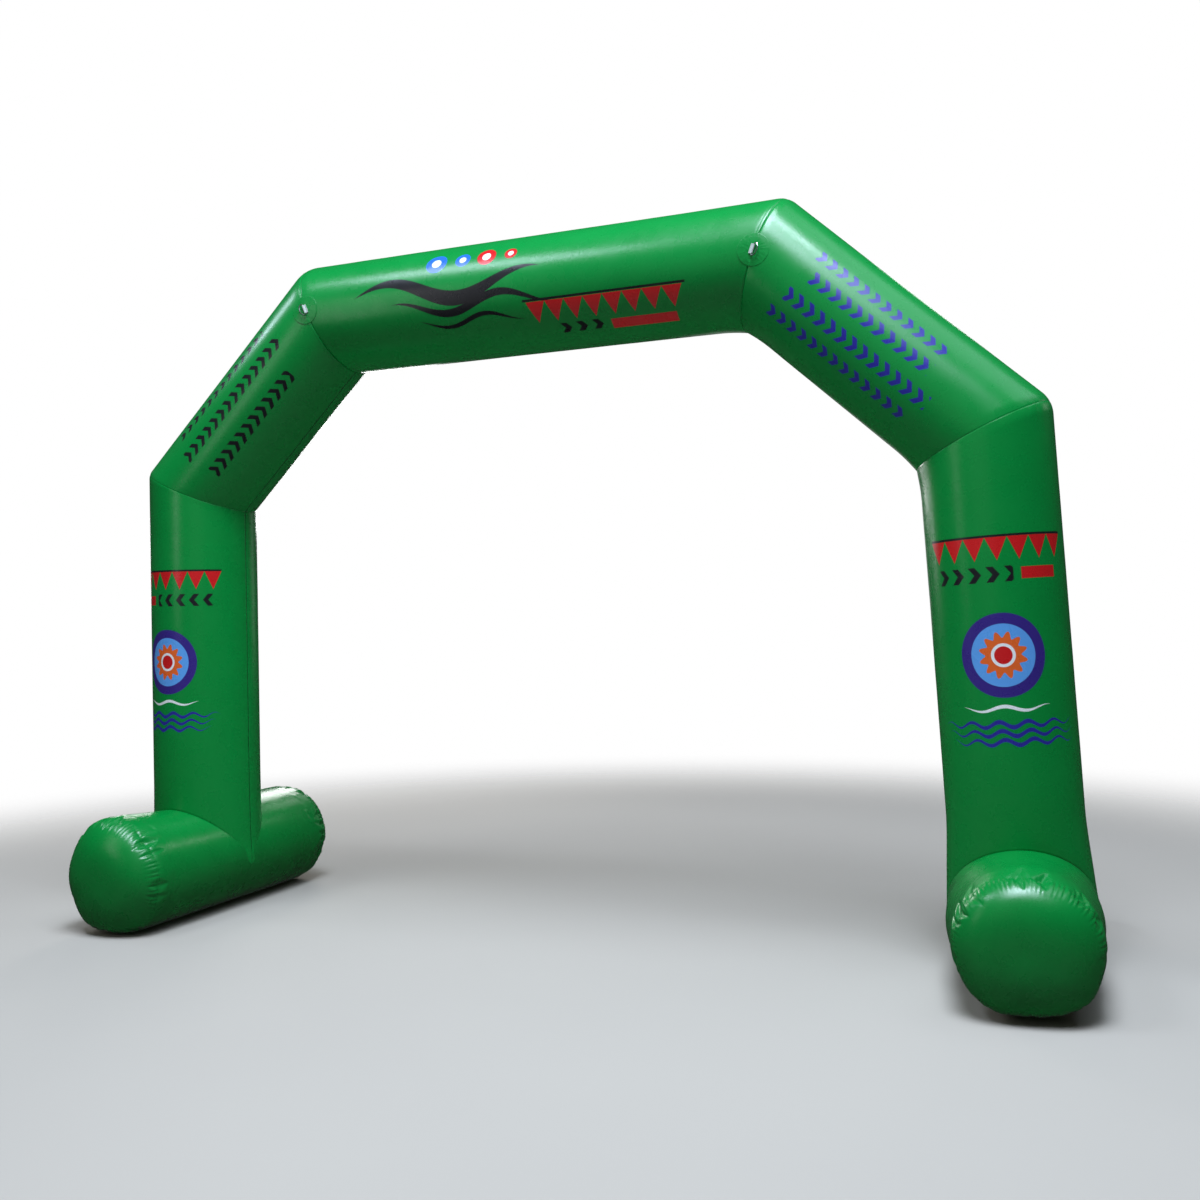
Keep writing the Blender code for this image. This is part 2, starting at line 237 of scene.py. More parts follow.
def long_seam(angle, along, seed, seam, ends_fade):
    """The lengthwise seam, drawn in, with the fine wrinkles it gathers."""
    arc = wrapped(angle - seam / RADIUS)
    front, off = arc > 0, np.abs(arc) * RADIUS
    relief = -0.0058 * bell(off, 0.003) - 0.002 * bell(off, 0.016) + 0.0014 * bell(off - 0.011, 0.006)
    shift = 0.35 * noise(along / 0.3, off / 0.08, seed + 1)
    fine = noise(along / 0.021 + shift, off / 0.1 + 9 * front, seed + 2)
    broad = noise(along / 0.052 + shift, off / 0.16 + 5 * front, seed + 3)
    lively = 0.45 + 0.55 * smooth(0.5 + noise(along / 0.35, 3 * front + 0.5, seed + 4))
    start = smooth(off / 0.01)
    wrinkles = 0.0015 * fine * np.exp(-off / 0.045) + 0.0016 * broad * np.exp(-off / 0.075)
    return (relief + wrinkles * start * lively) * ends_fade


def long_wrinkles(angle, along, length, seed, seam):
    """A few longer slack wrinkles that run off the lengthwise seam."""
    arc = wrapped(angle - seam / RADIUS)
    off = np.abs(arc) * RADIUS
    total = np.zeros(np.broadcast(angle, along).shape)
    count = int(length / WRINKLE_SPACING)
    for k in range(count):
        place = length * (k + chance(k, 6, seed)) / count
        reach = 0.05 + 0.13 * chance(k, 7, seed) ** 2
        slope = (chance(k, 8, seed) - 0.35) * 0.35
        front = chance(k, 9, seed) > 0.4
        here = (arc > 0) == front
        line = along - place - slope * off
        crease = 0.8 * bell(line - 0.009, 0.006) - bell(line, 0.005)
        total += here * 0.0011 * crease * smooth(1 - off / reach) * smooth(off / 0.012)
    return total


def slackness(angle, along, seed):
    """Wide, shallow unevenness that breaks up the highlights."""
    arc = np.abs(wrapped(angle)) * RADIUS
    back = ((angle % TURN) > math.pi) * smooth(arc / 0.2) * smooth((GIRTH / 2 - arc) / 0.2)
    wide = noise(arc / 0.42 + 4 * seed, along / 0.75, seed)
    middle = noise(arc / 0.2 + 40, along / 0.16, seed + 5)
    return 0.0016 * wide * (1 - 0.5 * back) + 0.00035 * middle


def with_slack(relief, angle, along, length, seed, seam, fade):
    """This relief with the lengthwise seam, its wrinkles and the tube's own unevenness."""
    relief = relief + long_seam(angle, along, seed, seam, 0.3 + 0.7 * fade)
    relief = relief + fade * slackness(angle, along, seed)
    return relief + fade * long_wrinkles(angle, along, length, seed, seam)


# ---- meshes

def mesh_piece(name, grid, uv, tip=None):
    """A closed piece from rows of points round it. tip closes the last row to one point."""
    rows, columns = grid.shape[:2]
    points = grid.reshape(-1, 3)
    index = np.arange(rows * columns).reshape(rows, columns)
    right = np.roll(index, -1, axis=1)
    quads = np.stack([index[:-1], right[:-1], right[1:], index[1:]], axis=-1).reshape(-1, 4)
    faces = [*quads.tolist(), index[0][::-1].tolist()]
    if tip is None:
        faces.append(index[-1].tolist())
    else:
        points = np.vstack([points, tip])
        faces += [(a, b, rows * columns) for a, b in zip(index[-1].tolist(), right[-1].tolist())]
    mesh = bpy.data.meshes.new(name)
    mesh.from_pydata(points.tolist(), [], faces)
    write_uv(mesh, *uv)
    mesh.shade_smooth()
    mesh.set_sharp_from_angle(angle=SHARP_EDGE)
    if signed_volume(points, quads) < 0:
        mesh.flip_normals()
    return shown(name, mesh)


def shown(name, data):
    obj = bpy.data.objects.new(name, data)
    bpy.context.scene.collection.objects.link(obj)
    return obj


def signed_volume(points, quads):
    a, b, c, d = (points[quads[:, k]] for k in range(4))
    first = np.einsum("ij,ij->i", a, np.cross(b, c)).sum()
    return first + np.einsum("ij,ij->i", a, np.cross(c, d)).sum()


def write_uv(mesh, around, along):
    """Coordinates in metres by row and column. A girth is one row, with one column more."""
    layer = mesh.uv_layers.new(name="metres")
    values = np.zeros((len(mesh.loops), 2), np.float32)
    rows, columns = along.shape
    for k, field in enumerate((np.broadcast_to(around, (rows, around.shape[-1])), along)):
        if field.shape[1] == columns:
            field = np.append(field, field[:, :1], axis=1)
        low, high = field[:-1], field[1:]
        corners = np.stack([low[:, :-1], low[:, 1:], high[:, 1:], high[:, :-1]], axis=-1)
        values[:corners.size, k] = corners.reshape(-1)
    layer.data.foreach_set("uv", values.ravel())


def seam_columns(seam):
    """Angles from the inner side, closer together near the lengthwise seam."""
    stitched = np.arange(-STITCH_STRIP, STITCH_STRIP, STITCH_COLUMN)
    fine = np.arange(STITCH_STRIP, SEAM_STRIP, FINE_COLUMN)
    rest = GIRTH - 2 * SEAM_STRIP
    count = int(rest / COARSE_COLUMN)
    coarse = SEAM_STRIP + rest * np.arange(count) / count
    arcs = join([stitched, fine, -fine - FINE_COLUMN, coarse])
    return np.sort((arcs + seam) % GIRTH) / RADIUS


def stations(low, high):
    """Distances along each column: set steps near both ends, even steps between."""
    span = high - low
    count = int(span.mean() / ROW)
    middle = (np.arange(count) + 0.5)[:, None] / count
    start = low + END_ROWS[:, None]
    body = low + END_ZONE + middle * (span - 2 * END_ZONE)
    finish = high - END_ROWS[::-1][:, None]
    return np.vstack([start, body, finish])


def outward(angle, inner):
    """Directions out of a tube, turned by these angles from its inner side towards the front."""
    return np.cos(angle)[..., None] * inner + np.sin(angle)[..., None] * FRONT


def seam_along(angle, radial, corner, welted, origin, axis, place, normal):
    """How far along the tube each column of the skin meets a mitre's plane."""
    radius = RADIUS + corner_relief(angle, 0 * angle, corner, welted)
    return ((place - origin - radial * radius[..., None]) @ normal)[0] / (axis @ normal)


def girth_marks(angle):
    """Metres round the tube at each column, and once more where it closes."""
    return np.append(angle[0] * RADIUS, GIRTH + angle[0, 0] * RADIUS)


def tube_piece(name, corners, path, seed, welt_at):
    """One mitred tube between two corners. path: its ends, and the points before and after them."""
    start, end = path[1:3]
    axis = unit(end - start)
    angle = seam_columns(SEAMS[name])[None, :]
    radial = outward(angle, inner_side(axis, start))
    first, last = mitre(*path[:3]), mitre(*path[1:])
    planes = (start + first * SEAM_GAP / 2, first), (end - last * SEAM_GAP / 2, last)
    low, high = (seam_along(angle, radial, corner, corner == welt_at, start, axis, *plane)
                 for corner, plane in zip(corners, planes))
    along = stations(low, high)
    from_ends = along - low, high - along
    fade = smooth(from_ends[0] / 0.05) * smooth(from_ends[1] / 0.05)
    relief = sum(corner_relief(angle, distance, corner, corner == welt_at)
                 for corner, distance in zip(corners, from_ends))
    relief = with_slack(relief, angle, along, high.mean(), seed, SEAMS[name], fade)
    grid = start + along[..., None] * axis + radial * (RADIUS + relief)[..., None]
    return mesh_piece(f"{name}_skin", grid, (girth_marks(angle), along))


def foot_axes(side):
    turn = -FEET[side]["sign"] * FEET[side]["toe_out"]
    back = np.array([math.sin(turn), math.cos(turn), 0])
    return back, np.array([math.cos(turn), -math.sin(turn), 0])


def foot_half_width(side, distance):
    start, end = FOOT_FLARE
    return RADIUS + FEET[side]["flare"] * (1 - smooth((np.abs(distance) - start) / (end - start)))


def saddle_height(side, points):
    """Height of the foot's back under these points."""
    back, across = foot_axes(side)
    local = points - foot_centre(side)
    share = (local @ across) / foot_half_width(side, local @ back)
    return FOOT_AXIS_Z + RADIUS * np.sqrt(np.clip(1 - share ** 2, 0, 1))


def leg_piece(side, seed):
    """A leg, from the round saddle it stands on up to the knee."""
    name, knee_name = f"leg_{side}", f"knee_{side}"
    base, knee = foot_centre(side), corner_point(knee_name)
    axis = unit(knee - base)
    inward = np.array([-FEET[side]["sign"], 0, 0])
    inner = unit(inward - axis * (inward @ axis))
    normal = mitre(base, knee, corner_point(f"crown_{side}"))
    angle = seam_columns(SEAMS[name])[None, :]
    radial = outward(angle, inner)

    def skin(height, relief):
        flare = (FEET[side]["flare"] - SADDLE_CLEARANCE) * (1 - smooth(height / FLARE_TOP))
        wide = np.cos(angle)[..., None] * inner * flare[..., None]
        return base + height[..., None] * axis + (radial * (RADIUS + relief)[..., None] + wide)

    place = knee - normal * SEAM_GAP / 2
    high = seam_along(angle, radial, knee_name, False, base, axis, place, normal)
    low = np.full_like(angle, 0.2)
    for _ in range(12):
        points = skin(low, 0 * low)
        low += (saddle_height(side, points) + SEAM_GAP - points[..., 2]) * 0.9
    off_side = np.abs(np.sin(angle[0])) * RADIUS
    low = low[0] - TONGUE * np.clip(1 - off_side / TONGUE_HALF, 0, 1)
    along = stations(low, high)
    from_low, from_high = along - low, high - along
    fade = smooth(from_low / 0.06) * smooth(from_high / 0.05)
    relief = corner_relief(angle, from_high, knee_name, False)
    relief = with_slack(relief, angle, along, high.mean(), seed, SEAMS[name], fade)
    relief += saddle_gathers(angle, from_low, seed)
    relief += 0.005 * bell(off_side, 0.11) * bell(along, 0.08)
    grid = skin(along, relief)
    sole = leg_sole(side, grid[0])
    grid = join([grid[::-1], sole])
    along = join([along[::-1], np.repeat(along[:1], len(sole), axis=0)])
    tip = base + UP * (RADIUS + 2 * SEAM_GAP)
    return mesh_piece(f"{name}_skin", grid, (girth_marks(angle), along), tip)


def leg_sole(side, edge):
    """The leg's underside, hollowed to lie on the foot."""
    centre = foot_centre(side)
    rings = centre + (edge - centre) * np.array([0.985, 0.95, 0.85, 0.6, 0.3])[:, None, None]
    rings[..., 2] = saddle_height(side, rings) + 2 * SEAM_GAP
    return rings


def saddle_gathers(angle, distance, seed):
    """Small pulls above the seam where the leg is sewn to the foot."""
    inward = np.abs(np.cos(angle))
    crease = noise(angle * RADIUS / 0.035 + distance / 0.05, distance / 0.12, seed + 12)
    pull = noise(angle * RADIUS / 0.11, distance / 0.3, seed + 13)
    near = np.exp(-distance / 0.09)
    start = smooth(distance / 0.012)
    return (0.0016 * crease * inward ** 6 + 0.001 * pull) * near * start - 0.002 * bell(distance, 0.004)


# ---- sewn ends, relaxed as cloth

# A foot ends in a flat disc sewn into the tube. Under pressure both are longer round the rim
# than the rim itself, so they buckle into folds. The cloth here is let settle by small moves.
RIM_RADIUS = 0.335
END_STRIP = 0.13             # length of tube that takes part
DISC_SPARE = 1.05            # the disc's radius against the dome's own arc
DISC_SPREAD = 0.1            # how far in from the rim the disc's spare cloth is felt
TUBE_SPARE = 0.1             # spare share of the tube's girth at the rim
TUBE_SPREAD = 0.03
END_COLUMNS = 360
END_ANGLE = TURN * np.arange(END_COLUMNS) / END_COLUMNS
CAP_REACH = 0.975            # share of the cap's arc that its rows cover, short of the pole
TUBE_ROWS, CAP_ROWS = 18, 46
SETTLE_STEPS, SETTLE_SWEEPS = 220, 5
INFLATION = 0.02             # outward step, as a share of a cell's own area vector
DAMPING = 0.9
BENDING, SHEAR = 0.05, 0.2   # shares of a bend and of a skewed cell put right at each sweep
FIRST_RISE = 0.04            # height of the waves that the folds grow from
FOLD_WAVES = 60
SWELL_WIDTH, SWELL_LENGTH = 0.6, 0.34    # radians round the foot, and metres along it


def dome_profile(count=400):
    """Radius and height of the cap along its arc, from the rim to the crown."""
    turn = math.pi / 2 * np.linspace(0, 1, count)
    radius = RIM_RADIUS * np.cos(turn) ** (2 / 3)
    height = CAP_DOME * np.sin(turn) ** 1.1
    arc = join([[0], np.cumsum(np.hypot(np.diff(radius), np.diff(height)))])
    return arc, radius, height


def end_profile():
    """Stations along the end, measured from the rim, with their radius, height and spare girth."""
    arc, dome_radius, dome_height = dome_profile()
    tube = -END_STRIP * np.linspace(1, 0, TUBE_ROWS, endpoint=False) ** 1.25
    cap = CAP_REACH * arc[-1] * np.linspace(0, 1, CAP_ROWS) ** 1.3
    station = join([tube, cap])
    drawn_in = RADIUS - (RADIUS - RIM_RADIUS) * np.exp(tube / 0.03)
    radius = join([drawn_in, np.interp(cap, arc, dome_radius)])
    height = join([tube, np.interp(cap, arc, dome_height)])
    disc = (arc[-1] - cap) * DISC_SPARE / np.interp(cap, arc, dome_radius) - 1
    disc[0] *= 0.45
    disc = np.where(disc > 0, disc * np.exp(-(cap / DISC_SPREAD) ** 2), disc)
    spare = join([TUBE_SPARE * np.exp(tube / TUBE_SPREAD), disc])
    return station, radius, height, spare


def uneven(angle, lumps, random):
    """Smooth random values round a ring."""
    values = random.uniform(-1, 1, lumps)
    place = angle / TURN * lumps
    low = np.floor(place).astype(int) % lumps
    share = smooth(place - np.floor(place))
    return values[low] * (1 - share) + values[(low + 1) % lumps] * share


def first_folds(angle, fold_lengths, random):
    """A sum of random waves round the rim, one metre high in the mean square."""
    waves = np.zeros_like(angle)
    for _ in range(FOLD_WAVES):
        count = round(GIRTH / random.uniform(*fold_lengths))
        waves += random.normal() * np.cos(count * angle + random.uniform(0, TURN))
    return waves / waves.std()


def rim_pits(angle, station, foot, random):
    """Pointed pits where the seam draws the cloth in: widest at the rim, narrowing away from it."""
    total = np.zeros((len(station), len(angle)))
    off_rim = np.abs(station)[:, None]
    for _ in range(foot["pulls"]):
        place, depth = random.uniform(0, TURN), random.uniform(0.008, 0.017)
        width, reach = random.uniform(0.018, 0.032), random.uniform(0.05, 0.11)
        across = wrapped(angle - place)[None, :] * RIM_RADIUS
        left = np.clip(1 - off_rim / reach, 0, 1)
        lean = random.uniform(-0.5, 0.5) * off_rim
        total -= depth * np.sqrt(left) * bell(across - lean, width * (0.15 + left))
    return total


def lengths(difference):
    return np.sqrt(np.einsum("ijk,ijk->ij", difference, difference))[..., None]


def settle_round(points, hoop, free):
    """Draws neighbours in each ring to their own distance, even pairs and then odd ones."""
    for first in (0, 1):
        second = points[:, 1::2] if first == 0 else np.roll(points[:, 0::2], -1, axis=1)
        apart = second - points[:, first::2]
        move = 0.5 * (1 - hoop[:, first::2] / lengths(apart)) * apart * free
        points[:, first::2] += move
        points[:, (1 - first)::2] -= move if first == 0 else np.roll(move, 1, axis=1)


def settle_along(points, step, diagonal, free):
    """Draws neighbouring rings to their distance apart, straight and across each cell."""
    for first in (0, 1):
        last = first + (len(points) - first) // 2 * 2
        low, high = points[first:last:2], points[first + 1:last:2]
        free_low, free_high = free[first:last:2], free[first + 1:last:2]
        share = free_low + free_high + 1e-6
        for turn, rest, strength in ((0, step, 1.0), (1, diagonal, SHEAR), (-1, diagonal, SHEAR)):
            apart = np.roll(high, -turn, axis=1) - low
            move = strength * (1 - rest[first:last:2][:len(low)] / lengths(apart)) * apart / share
            low += move * free_low
            high -= np.roll(move * free_high, turn, axis=1)


def settle_bends(points, flat, free):
    ring = (np.roll(points, 1, axis=1) + np.roll(points, -1, axis=1)) * 0.5 - points
    points += BENDING * ring * free
    line = (points[2:] + points[:-2]) * 0.5 - points[1:-1]
    points[1:-1] += BENDING * (line - flat) * free[1:-1]


def settled(points, flat, hoop, step, diagonal):
    """Lets the cloth come to rest between its two held edges, under pressure from inside."""
    points, flat, hoop, diagonal, step = (
        field.astype(np.float32)
        for field in (points, flat, hoop[..., None], diagonal[..., None], step[:, None, None]))
    free = np.ones((len(points), 1, 1), np.float32)
    free[:2] = free[-2:] = 0
    speed = np.zeros_like(points)
    for _ in range(SETTLE_STEPS):
        round_way = np.roll(points, -1, axis=1) - np.roll(points, 1, axis=1)
        along_way = np.zeros_like(points)
        along_way[1:-1] = points[2:] - points[:-2]
        before = points.copy()
        points = points + DAMPING * speed + INFLATION * np.cross(round_way, along_way) * free
        for _ in range(SETTLE_SWEEPS):
            settle_round(points, hoop, free)
            settle_along(points, step, diagonal, free)
            settle_bends(points, flat, free)
        speed = (points - before) * free
    return points


def sewn_end(side, end):
    """Rows of points (across, up, outward) of one settled end, with its stations."""
    foot = FEET[side]
    random = np.random.default_rng(foot["seed"] + end)
    station, radius, height, spare = end_profile()
    angle = END_ANGLE
    lively = np.clip(1 + 0.9 * (uneven(angle, 9, random) + 0.5 * uneven(angle, 23, random)), 0.3, 1.9)
    upper = foot["lower"] + (1 - foot["lower"]) * smooth(0.5 + 0.9 * np.sin(angle))
    spare = foot["spare"] * spare[:, None] * lively * upper
    ring = np.stack([np.cos(angle), np.sin(angle), 0 * angle], axis=-1)
    points = radius[:, None, None] * ring + height[:, None, None] * UP
    step = np.hypot(np.diff(radius), np.diff(height))
    hoop = TURN * radius[:, None] * (1 + spare) / END_COLUMNS
    diagonal = np.hypot((hoop[1:] + hoop[:-1]) / 2, step[:, None])
    slope, climb = np.gradient(radius, station), np.gradient(height, station)
    normal = climb[:, None, None] * ring - slope[:, None, None] * UP
    normal /= lengths(normal)
    rise = FIRST_RISE * first_folds(angle, foot["folds"], random) * np.sqrt(np.clip(spare, 0, None))
    flat = (points[2:] + points[:-2]) * 0.5 - points[1:-1]
    points = settled(points + rise[..., None] * normal, flat, hoop, step, diagonal)
    points = points + (rim_pits(angle, station, foot, random) * upper)[..., None] * normal
    mean = np.hypot(points[..., 0], points[..., 1]).mean(axis=1)
    points = points + (radius - mean)[:, None, None] * ring
    shape = sum(share * beside(angle, math.radians(turn), width) for turn, share, width in foot["rim"])
    points[..., :2] *= 1 + (shape * smooth(1 + station / END_STRIP)[:, None])[..., None]
    return station, points


def swelling(side, angle, from_rim):
    """How far the foot stands out near its front rim, as a share of the radius."""
    foot = FEET[side]
    fading = bell(np.clip(from_rim, 0, None), SWELL_LENGTH)
    return foot["swell"] * beside(angle, foot["full"], SWELL_WIDTH) * fading


def placed(side, end, points, gap=0.0):
    """Points (across, up, outward from the rim) of one end, put in place on the foot."""
    back, across = foot_axes(side)
    distance = FOOT_HALF + gap + points[..., 2]
    if end < 0:
        angle = np.arctan2(points[..., 1], points[..., 0])
        points = points * (1 + swelling(side, angle, FOOT_HALF - distance))[..., None]
    width = foot_half_width(side, distance) / RADIUS
    grid = foot_centre(side) + (points[..., 0] * width)[..., None] * across + points[..., 1:2] * UP
    return grid + distance[..., None] * end * back


def foot_piece(side, ends):
    """A foot's tube, from one gathered rim to the other."""
    back, across = foot_axes(side)
    front, rear = (placed(side, end, ends[end][:TUBE_ROWS + 1]) for end in (-1, 1))
    limit = FOOT_HALF - END_STRIP - ROW
    middle = np.linspace(limit, -limit, int(2 * limit / ROW))[:, None] + 0 * front[:1, :, 0]
    angle = END_ANGLE[None, :]
    relief = slackness(angle, middle, FEET[side]["seed"]) * smooth((limit - np.abs(middle)) / 0.1)
    relief = relief + RADIUS * swelling(side, angle, FOOT_HALF + middle)
    grid = foot_centre(side) + middle[..., None] * back
    grid = grid + ((foot_half_width(side, middle) + relief) * np.cos(angle))[..., None] * across
    grid = grid + ((RADIUS + relief) * np.sin(angle))[..., None] * UP
    grid = join([rear[::-1], grid, front])
    along = (grid - foot_centre(side)) @ back
    rest_on_floor(side, grid)
    around = GIRTH * np.arange(END_COLUMNS + 1) / END_COLUMNS
    return mesh_piece(f"foot_{side}_skin", grid, (around, along))


def rest_on_floor(side, grid):
    """Flattens what would sink into the floor. Near the rims the slack cloth hangs in scallops."""
    soft = FLOOR_SOFTNESS
    back, across = foot_axes(side)
    local = grid - foot_centre(side)
    from_rim = np.abs(np.abs(local @ back) - FOOT_HALF)
    wave = 0.5 + 0.5 * noise(local @ across / SCALLOP_LENGTH, np.sign(local @ back) * 0.5 + 2.5, 31)
    height = grid[..., 2] - SCALLOP * wave * np.exp(-from_rim / 0.06)
    pressed = np.where(height > soft, height, np.clip(height + soft, 0, None) ** 2 / (4 * soft))
    grid[..., 2] += pressed - height


def cap_piece(side, end, station, points):
    """A round end cap, swelling from its gathered rim."""
    rows = points[TUBE_ROWS:].copy()
    arc = station[TUBE_ROWS:]
    lumps = noise(rows[..., 0] / 0.22 + 7, rows[..., 1] / 0.22, FEET[side]["seed"] + end)
    rows[..., 2] += 0.005 * lumps * smooth(arc / 0.08)[:, None]
    grid = placed(side, end, rows, SEAM_GAP)
    rest_on_floor(side, grid)
    from_pole = (arc[-1] / CAP_REACH - arc)[:, None]
    disc = (from_pole * np.cos(END_ANGLE), from_pole * np.sin(END_ANGLE))
    ending = "front" if end < 0 else "rear"
    return mesh_piece(f"cap_{side}_{ending}_skin", grid, disc, grid[-1].mean(axis=0))


# ---- anchors on the crown seams

PATCH_RADIUS, PATCH_LIFT, PATCH_THICKNESS = 0.09, 0.0007, 0.002
PATCH_WELDS = (0.083, 0.076)     # radii of the two welded lines
STRAP_WIDTH, STRAP_TAIL, STRAP_LAYER = 0.054, 0.012, 0.0022
HOLE_RADIUS = 0.0041             # of the loop round the ring's bar
RIB = 0.0018                     # from one rib of the webbing to the next
LAYERS_MEET = 0.0095             # how far below the bar the webbing's two layers meet
PATCH_COLUMNS, PATCH_ROWS = 120, 40


def anchor_axes(side):
    """The crown point, the directions along and across its seam, and the axes of its two tubes."""
    crown, knee = corner_point(f"crown_{side}"), corner_point(f"knee_{side}")
    other = corner_point("crown_right" if side == "left" else "crown_left")
    across = mitre(other, crown, knee)
    along = np.cross(across, FRONT)
    return crown, along * np.sign(along[2]), across, unit(crown - other), unit(knee - crown)


def patch_piece(side):
    """The round patch, curved over both tubes, with its two welded lines."""
    crown, along, across, beam_axis, shoulder_axis = anchor_axes(side)
    turn = (TURN * np.arange(PATCH_COLUMNS) / PATCH_COLUMNS)[None, :]
    inwards = 0.985 - 0.97 * np.linspace(0, 1, PATCH_ROWS)
    radius = PATCH_RADIUS * join([[1, 1.002, 0.994], inwards])[:, None]
    lift = PATCH_LIFT + PATCH_THICKNESS * join([[0, 0.6, 0.95], 1 + 0 * inwards])[:, None]
    welds = sum(bell(radius - weld, 0.0016) for weld in PATCH_WELDS)
    lift = lift - 0.0004 * welds + 0.0004 * noise(turn * 9, radius / 0.03, 5) * (lift > 2 * PATCH_LIFT)
    flat = along * (radius * np.sin(turn))[..., None] + across * (radius * np.cos(turn))[..., None]
    axis = np.where(np.cos(turn)[..., None] < 0, beam_axis, shoulder_axis)
    off_axis = lengths(flat - axis * (flat * axis).sum(axis=-1, keepdims=True))[..., 0]
    grid = crown + flat + (np.sqrt(RADIUS ** 2 - off_axis ** 2) + lift)[..., None] * FRONT
    around = PATCH_RADIUS * np.append(turn[0], TURN)
    tip = crown + FRONT * (RADIUS + PATCH_LIFT + PATCH_THICKNESS)
    return mesh_piece(f"anchor_patch_{side}_skin", grid, (around, radius + 0 * turn), tip)


def strap_line():
    """The webbing's middle line in the plane across its width: under the bar, round it and back."""
    layer, bend = STRAP_LAYER, HOLE_RADIUS + STRAP_LAYER / 2
    tail = -(HOLE_RADIUS + layer + STRAP_TAIL)
    under = [(v, -bend) for v in np.linspace(tail, 0, 10, endpoint=False)]
    turns = np.radians(np.linspace(-90, 130, 22))
    loop = [(bend * math.cos(a), bend * math.sin(a)) for a in turns]
    top, out = loop[-1]
    down = [(top * (1 - s) - LAYERS_MEET * s, out * (1 - smooth(s)) + (layer - bend) * smooth(s))
            for s in np.linspace(0, 1, 9)[1:]]
    back = [(v, layer - bend) for v in np.linspace(-LAYERS_MEET, tail, 8)[1:]]
    return np.array(under + loop + down + back)


def strap_piece(side):
    """The folded webbing that holds the ring's bar, with ribs across it and thin edges."""
    crown, along, across, _, _ = anchor_axes(side)
    line = strap_line()
    way = np.gradient(line, axis=0)
    normal = np.stack([-way[:, 1], way[:, 0]], axis=-1) / np.hypot(*way.T)[:, None]
    run = join([[0], np.cumsum(np.hypot(*np.diff(line, axis=0).T))])
    shares = join([[-0.5, -0.495, 0.495, 0.5], np.linspace(-0.48, 0.48, 60)])
    width = STRAP_WIDTH * np.sort(shares)
    rim = 0.45 + 0.55 * smooth((STRAP_WIDTH / 2 - np.abs(width)) / 0.0012)
    ribs = 0.00012 * np.cos(TURN * width / RIB)
    half = (STRAP_LAYER / 2 - 0.0002) * rim + ribs
    upper = line[None] + half[:, None, None] * normal[None]
    lower = line[::-1][None] - half[:, None, None] * normal[::-1][None]
    profile = join([upper, lower], axis=1)
    bar = crown + FRONT * (RADIUS + PATCH_LIFT + PATCH_THICKNESS + SEAM_GAP + STRAP_LAYER + HOLE_RADIUS)
    grid = bar + profile[..., :1] * across + profile[..., 1:] * FRONT + width[:, None, None] * along
    around = join([run, run[-1] + run, [2 * run[-1]]])
    return mesh_piece(f"anchor_strap_{side}_skin", grid, (around, width[:, None] + 0 * profile[..., 0]))


# ---- node maths

def feed(node, name, value):
    """Links a socket to this input, or sets a plain number or colour there."""
    if isinstance(value, bpy.types.NodeSocket):
        node.id_data.links.new(value, node.inputs[name])
    else:
        node.inputs[name].default_value = value


def wired(kind, **inputs):
    """A new node beside those that feed it."""
    socket = next(value for value in inputs.values() if isinstance(value, bpy.types.NodeSocket))
    node = socket.id_data.nodes.new("ShaderNode" + kind)
    for name, value in inputs.items():
        feed(node, name, value)
    return node


def operation(name):
    def applied(self, *values):
        made = self.socket.id_data.nodes.new("ShaderNodeMath")
        made.operation = name
        for k, value in enumerate((self, *values)):
            feed(made, k, getattr(value, "socket", value))
        return Field(made.outputs[0])
    return applied


class Field:
    """A number that varies over the surface, as the output of a shader node."""

    def __init__(self, socket):
        self.socket = socket

    __add__, __sub__ = operation("ADD"), operation("SUBTRACT")
    __mul__, __truediv__ = operation("MULTIPLY"), operation("DIVIDE")
    __abs__, root, fraction = operation("ABSOLUTE"), operation("SQRT"), operation("FRACT")
    most, least = operation("MAXIMUM"), operation("MINIMUM")
    sine, cosine, angle_from = operation("SINE"), operation("COSINE"), operation("ARCTAN2")


def inside(distance, edge):
    """1 where a mark's signed distance is negative, with a soft edge."""
    return (distance * (-0.5 / edge) + 0.5).most(0.0).least(1.0)


def dashes(along, pitch, half):
    """Signed distance to the nearest of a row of marks."""
    return abs((along / pitch).fraction() - 0.5) * pitch - half


def box(h, v, centre, half):
    return (abs(h - centre[0]) - half[0]).most(abs(v - centre[1]) - half[1])


def ball(h, v, centre, radius):
    x, y = h - centre[0], v - centre[1]
    return (x * x + y * y).root() - radius


def wave(h, v, start, end, middle, swing, length, thick, phase=0.0):
    """A brushed wave, thickest in the middle of its run."""
    share = (h - start) / (end - start)
    line = (share * (end - start) * (TURN / length) + phase).sine() * swing
    body = (share * math.pi).sine() * thick
    return (abs(v - middle - line) - body).most(abs(share - 0.5) - 0.5)


def chevrons(h, v, start, end, middle, pitch, height, thick):
    """A row of arrow marks that point along h."""
    mark = dashes((h - start) + abs(v - middle) * 0.8, pitch, thick / 2)
    return mark.most(box(h, v, ((start + end) / 2, middle), ((end - start) / 2, height / 2)))


def pennants(h, v, start, end, top, pitch, drop):
    """A row of triangles that hang from a line."""
    down = (v - top) * -1.0
    triangle = dashes(h - start, pitch, pitch / 2) + down * (pitch / 2 / drop)
    return triangle.most(down * -1.0).most(abs(h - (start + end) / 2) - (end - start) / 2)


def star(h, v, centre, radius, points, depth):
    turn = (v - centre[1]).angle_from(h - centre[0])
    return ball(h, v, centre, radius) + (turn * points).cosine() * depth


# ---- materials

